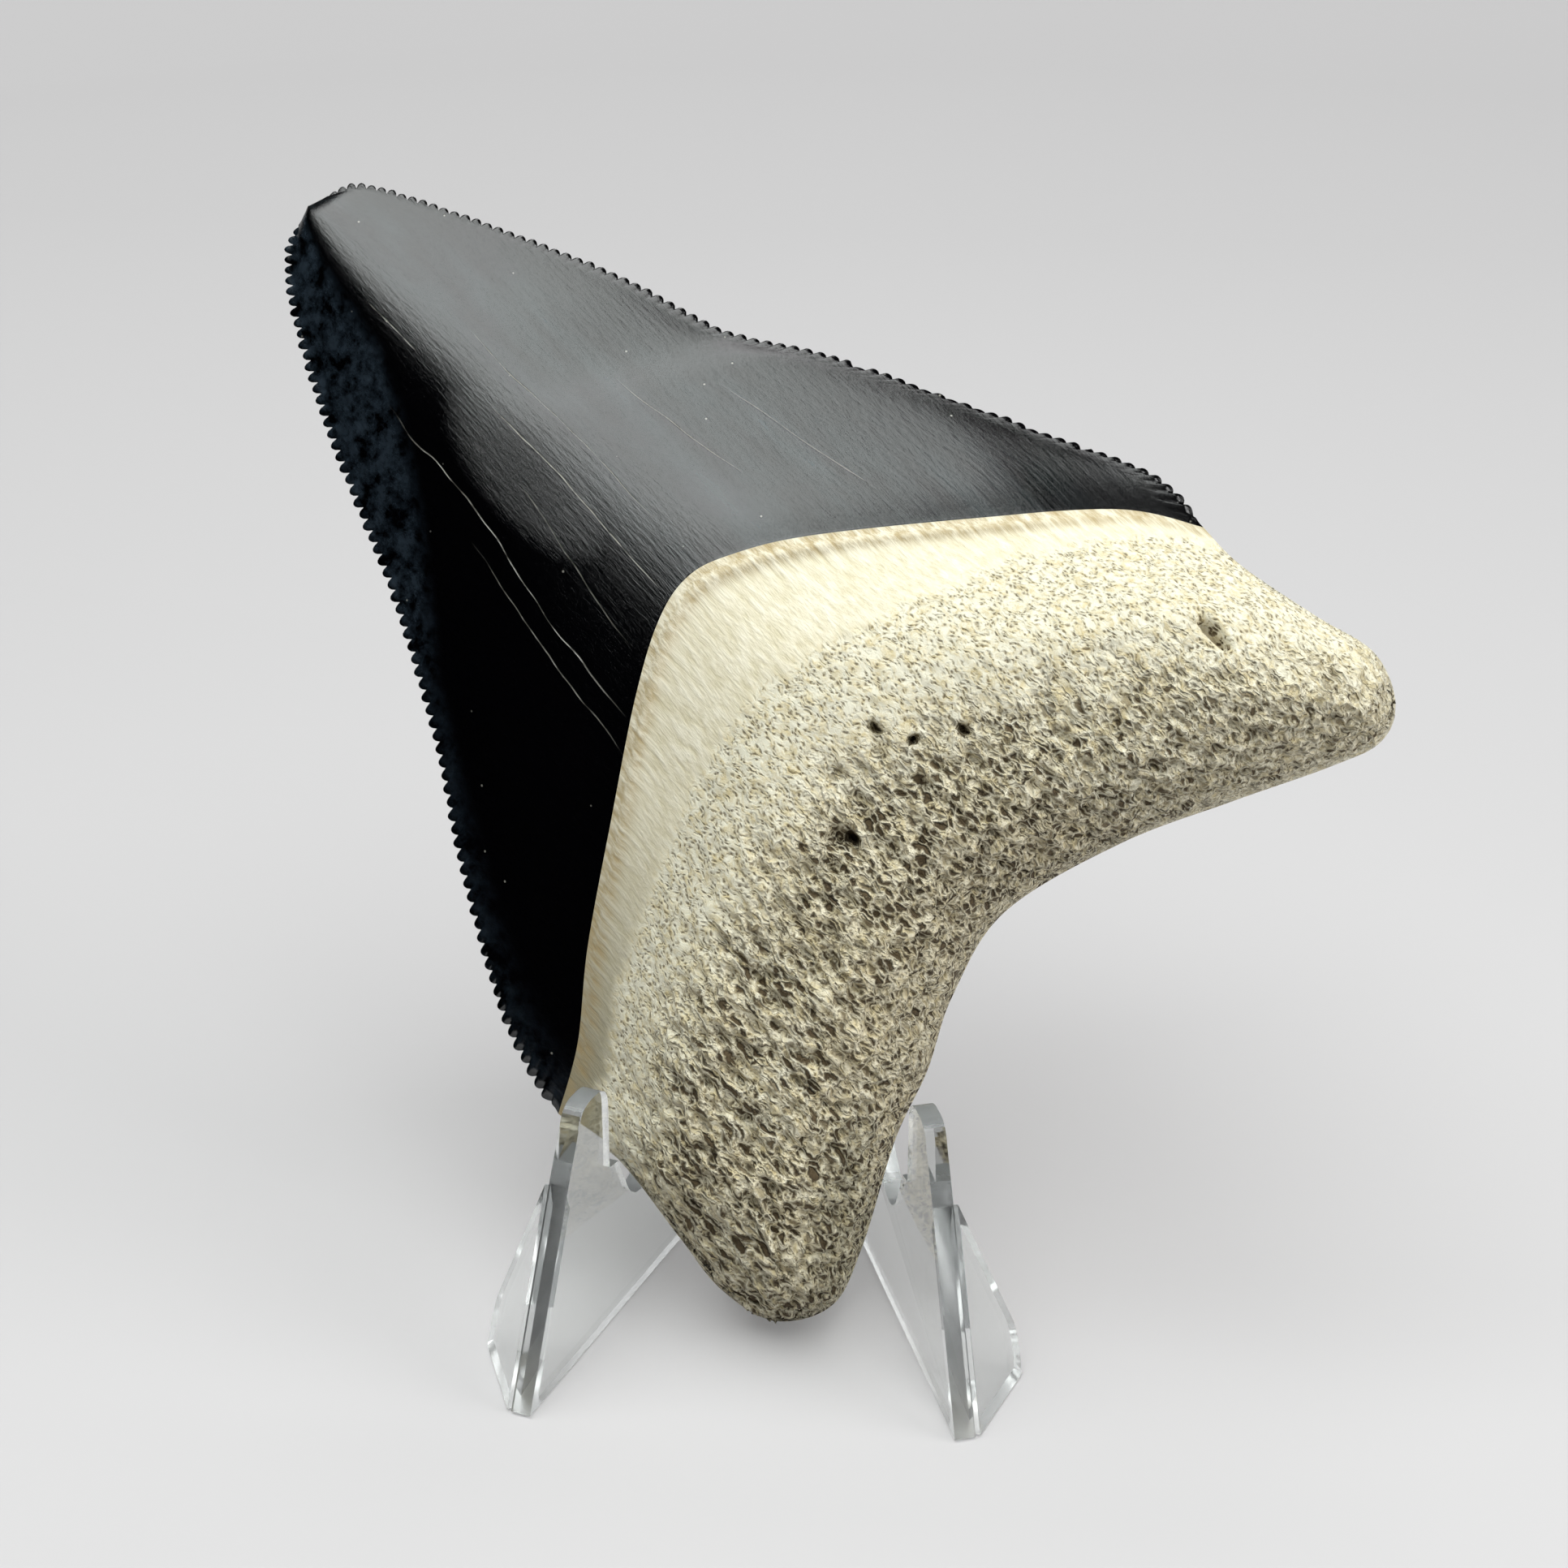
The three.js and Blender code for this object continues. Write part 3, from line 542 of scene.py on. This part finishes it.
# Clear acrylic: see-through with grey edges, its large faces a little scuffed by handling and the level cut
# edges frosted by the saw. Scuffs are about a millimetre wide.
acrylic, tree, shader = new_material("clear_acrylic")
at = add(tree, "TexCoord", {}, "Object")
scuffs = add(tree, "TexNoise", {"Vector": at, "Scale": SCUFFS_PER_M, "Detail": 1.0, "Roughness": 0.7})
scuffs = add(tree, "MapRange", {0: scuffs, 1: 0.4, 2: 0.75, 3: 0.03, 4: 0.10})
facing = add(tree, "NewGeometry", {}, "Normal")
sawn = add(tree, "Math", {0: add(tree, "SeparateXYZ", {0: facing}, "Z")}, operation="ABSOLUTE")
sawn = add(tree, "MapRange", {0: sawn, 1: 0.80, 2: 0.95})
frost = add(tree, "Math", {0: sawn, 1: 0.3, 2: scuffs}, operation="MULTIPLY_ADD")
tree.links.new(frost, shader.inputs["Roughness"])
tint = add(tree, "MixRGB", {0: sawn, 1: linear("#fafcfb"), 2: linear("#d3d7d7")})
tree.links.new(tint, shader.inputs["Base Color"])
shader.inputs["IOR"].default_value = 1.49
shader.inputs["Transmission Weight"].default_value = 1.0
haze = add(tree, "VolumeAbsorption", {"Color": linear("#7f8584"), "Density": 26.0})
tree.links.new(haze, tree.nodes["Material Output"].inputs["Volume"])
stand.data.materials.clear()
stand.data.materials.append(acrylic)
weld = stand.modifiers.new("joined", "WELD")
weld.merge_threshold = 0.01 * MM
bevel = stand.modifiers.new("rounded_edges", "BEVEL")
bevel.width = EDGE_ROUNDING
bevel.segments = 2
bevel.limit_method = "ANGLE"
bevel.angle_limit = math.radians(35)

# Table: a pale matt sheet that fills the view. It glows weakly, more with distance and a little more in
# front:
# painted light that lifts the shadows on it and evens its brightness, though it is no lamp.
SHEET_REACH, SHEET_DROP = 3, 0.2 * MM
floor_mesh = bpy.data.meshes.new("table_sheet")
sheet_plan = ((-1, -1), (1, -1), (1, 1), (-1, 1))
sheet_corners = [(SHEET_REACH * i, SHEET_REACH * j, -SHEET_DROP) for i, j in sheet_plan]
floor_mesh.from_pydata(sheet_corners, [], [(0, 1, 2, 3)])
sheet, tree, shader = new_material("pale_matt_sheet")
shader.inputs["Base Color"].default_value = linear("#acaaab")
shader.inputs["Roughness"].default_value = 0.9
shader.inputs["Specular IOR Level"].default_value = 0.1
shader.inputs["Emission Color"].default_value = linear("#ffffff")
at = add(tree, "TexCoord", {}, "Object")
away = add(tree, "VectorMath", {0: at}, "Value", operation="LENGTH")
# Painted light: emission that brightens the sheet far off and in front, and lightens the shadows cast on it.
far_glow = add(tree, "MapRange", {0: away, 1: 0.35, 2: 1.3, 3: 0.0, 4: 0.42})
back_to_front = add(tree, "SeparateXYZ", {0: at}, "Y")
near_glow = add(tree, "MapRange", {0: back_to_front, 1: -0.1, 2: 0.25, 3: 0.19, 4: 0.06})
glow = add(tree, "Math", {0: far_glow, 1: near_glow}, operation="ADD")
tree.links.new(glow, shader.inputs["Emission Strength"])
sheet.cycles.emission_sampling = "NONE"
floor_mesh.materials.append(sheet)
floor = bpy.data.objects.new("table_sheet", floor_mesh)
bpy.context.scene.collection.objects.link(floor)

# Studio light: a large soft box overhead that shows in the right facet, a small one behind, and one far to
# the right that lights the root from the side. Two black cards on the left keep the left facet dark.
CARD_HEIGHT = 0.3
CARD_LIFT = 0.4 * MM


def direction(azimuth, elevation):
    """Unit vector towards an azimuth, in degrees from the front to the right, and an elevation."""
    a, e = math.radians(azimuth), math.radians(elevation)
    return Vector((math.sin(a) * math.cos(e), -math.cos(a) * math.cos(e), math.sin(e)))


def soft_box(name, width, depth, radiance, place, turn):
    """A rectangular lamp in metres; its power is its radiance times pi times its area."""
    light = bpy.data.lights.new(name, "AREA")
    light.shape = "RECTANGLE"
    light.size, light.size_y = width, depth
    light.energy = radiance * math.pi * width * depth
    lamp = bpy.data.objects.new(name, light)
    lamp.location = place
    lamp.rotation_euler = turn
    bpy.context.scene.collection.objects.link(lamp)
    return light


overhead = soft_box("overhead_soft_box", 0.81, 1.13, 4.4, (-0.123, -0.20, 0.84), (0, 0, math.radians(20)))
overhead.color = (0.965, 1.0, 0.985)
soft_box("rear_soft_box", 0.40, 0.36, 4.0, (0.03, 0.68, 0.84), (0, 0, 0))
from_right = direction(80, 25)
soft_box("side_soft_box", 1.5, 1.5, 5.2, from_right * 2.4, from_right.to_track_quat("Z", "Y").to_euler())
velvet, tree, shader = new_material("black_velvet")
shader.inputs["Base Color"].default_value = linear("#020202")
shader.inputs["Specular IOR Level"].default_value = 0.0
lying = [(0.02, -0.50), (-0.036, -0.03), (-0.036, 0.10), (-0.40, 0.20), (-0.10, -0.50)]
near_foot, far_foot = (-0.06, -0.40), (-0.22, 0.15)
standing = [(*near_foot, 0), (*far_foot, 0), (*far_foot, CARD_HEIGHT), (*near_foot, CARD_HEIGHT)]
for name, corners in (("lying_card", [(*p, CARD_LIFT) for p in lying]), ("standing_card", standing)):
    card_mesh = bpy.data.meshes.new(name)
    card_mesh.from_pydata(corners, [], [tuple(range(len(corners)))])
    card_mesh.materials.append(velvet)
    card = bpy.data.objects.new(name, card_mesh)
    bpy.context.scene.collection.objects.link(card)
    card.visible_camera = card.visible_transmission = card.visible_shadow = False
    card.visible_diffuse = name == "standing_card"
# The room: dim in mirrors, a weak fill on matt faces, pale where it is seen itself or through the acrylic.
ROOM_IN_MIRRORS, ROOM_FILL = (0.03, 0.03, 0.03, 1.0), (0.12, 0.12, 0.12, 1.0)
world = bpy.data.worlds.new("studio")
world.use_nodes = True
room = world.node_tree
fill, seen, through = (
    add(room, "LightPath", {}, f"Is {kind} Ray") for kind in ("Diffuse", "Camera", "Transmission")
)
tone = add(room, "MixRGB", {0: fill, 1: ROOM_IN_MIRRORS, 2: ROOM_FILL})
pale = add(room, "Math", {0: seen, 1: through}, operation="MAXIMUM")
tone = add(room, "MixRGB", {0: pale, 1: tone, 2: linear("#e2e2e3")})
room.links.new(tone, room.nodes["Background"].inputs["Color"])
bpy.context.scene.world = world

# Camera: where the photo was taken from, in front, a little to the right and above. Its place is in
# millimetres from the middle of the easel's front feet, and its focal length in pixels of the photo.
CAMERA_AT = Vector((17.66, -165.30, 123.76))
CAMERA_AZIMUTH, CAMERA_ELEVATION = 5.184, 25.482
FOCAL_PIXELS, PHOTO_PIXELS = 4000, 1932
back = direction(CAMERA_AZIMUTH, CAMERA_ELEVATION)
right_hand = Vector((math.cos(math.radians(CAMERA_AZIMUTH)), math.sin(math.radians(CAMERA_AZIMUTH)), 0))
lens = bpy.data.cameras.new("camera")
lens.sensor_width = 36.0
lens.lens = lens.sensor_width * FOCAL_PIXELS / PHOTO_PIXELS
camera = bpy.data.objects.new("camera", lens)
turn = Matrix((right_hand, back.cross(right_hand), back)).transposed().to_4x4()
camera.matrix_world = Matrix.Translation(stand_origin + CAMERA_AT * MM) @ turn
bpy.context.scene.collection.objects.link(camera)
bpy.context.scene.camera = camera
bpy.context.scene.view_settings.view_transform = "Standard"
bpy.context.scene.cycles.max_bounces = 16
bpy.context.scene.cycles.transmission_bounces = 16
bpy.context.scene.cycles.glossy_bounces = 8
bpy.context.scene.cycles.diffuse_bounces = 2
